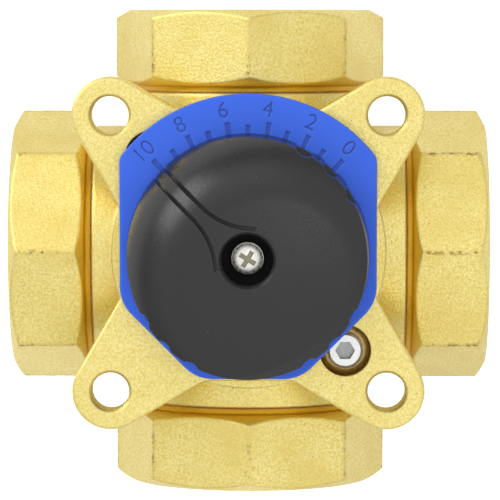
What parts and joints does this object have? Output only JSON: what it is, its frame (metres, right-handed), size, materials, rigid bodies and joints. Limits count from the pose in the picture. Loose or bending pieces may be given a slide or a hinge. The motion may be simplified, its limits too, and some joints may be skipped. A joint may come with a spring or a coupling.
{
  "type": "four-way mixing valve",
  "caption": "Brass four-way mixing valve with octagonal threaded ports, an eared cover plate, a blue scale plate and a black pointer knob that turns the mixing blade through a quarter turn.",
  "frame": {"origin": "on the stem axis, in the flat rear pad that the valve lies on", "axes": "+Z along the stem towards the knob, +X and +Y along two ports; the scale's middle mark points to +Y"},
  "size_m": [0.095, 0.095, 0.079],
  "materials": {
    "body_brass": "blasted, machined at the ports",
    "cover_brass": "blasted",
    "blade_brass": "machined",
    "bush_bronze": "sintered",
    "stem_steel": "turned",
    "screw_steel": "zinc plated",
    "bright_steel": "bright plated",
    "rubber": "matt",
    "blue_plastic": "moulded, satin",
    "black_plastic": "moulded, satin"
  },
  "bodies": {
    "root": {"valve_body": "body_brass", "cover_plate": "cover_brass", "cover_o_ring": "rubber", "cover_screw_a": "screw_steel", "cover_screw_b": "screw_steel", "cover_washer_a": "screw_steel", "cover_washer_b": "screw_steel", "scale_plate": "blue_plastic", "upper_bush": "bush_bronze", "lower_bush": "bush_bronze"},
    "rotor": {"stem": "stem_steel", "mixing_blade": "blade_brass", "blade_screw_a": "screw_steel", "blade_screw_b": "screw_steel", "stem_o_ring_a": "rubber", "stem_o_ring_b": "rubber", "thrust_washer": "bush_bronze", "lower_thrust_washer": "bush_bronze", "stop_pin": "stem_steel", "stem_clip": "screw_steel", "knob": "black_plastic", "knob_screw": "bright_steel", "knob_washer": "bright_steel"}
  },
  "joints": [
    {"name": "knob_turn", "type": "hinge", "parent": "root", "child": "rotor", "pos_m": [0, 0, 0.0275], "axis": [0, 0, 1], "range_deg": [-90, 0]}
  ]
}
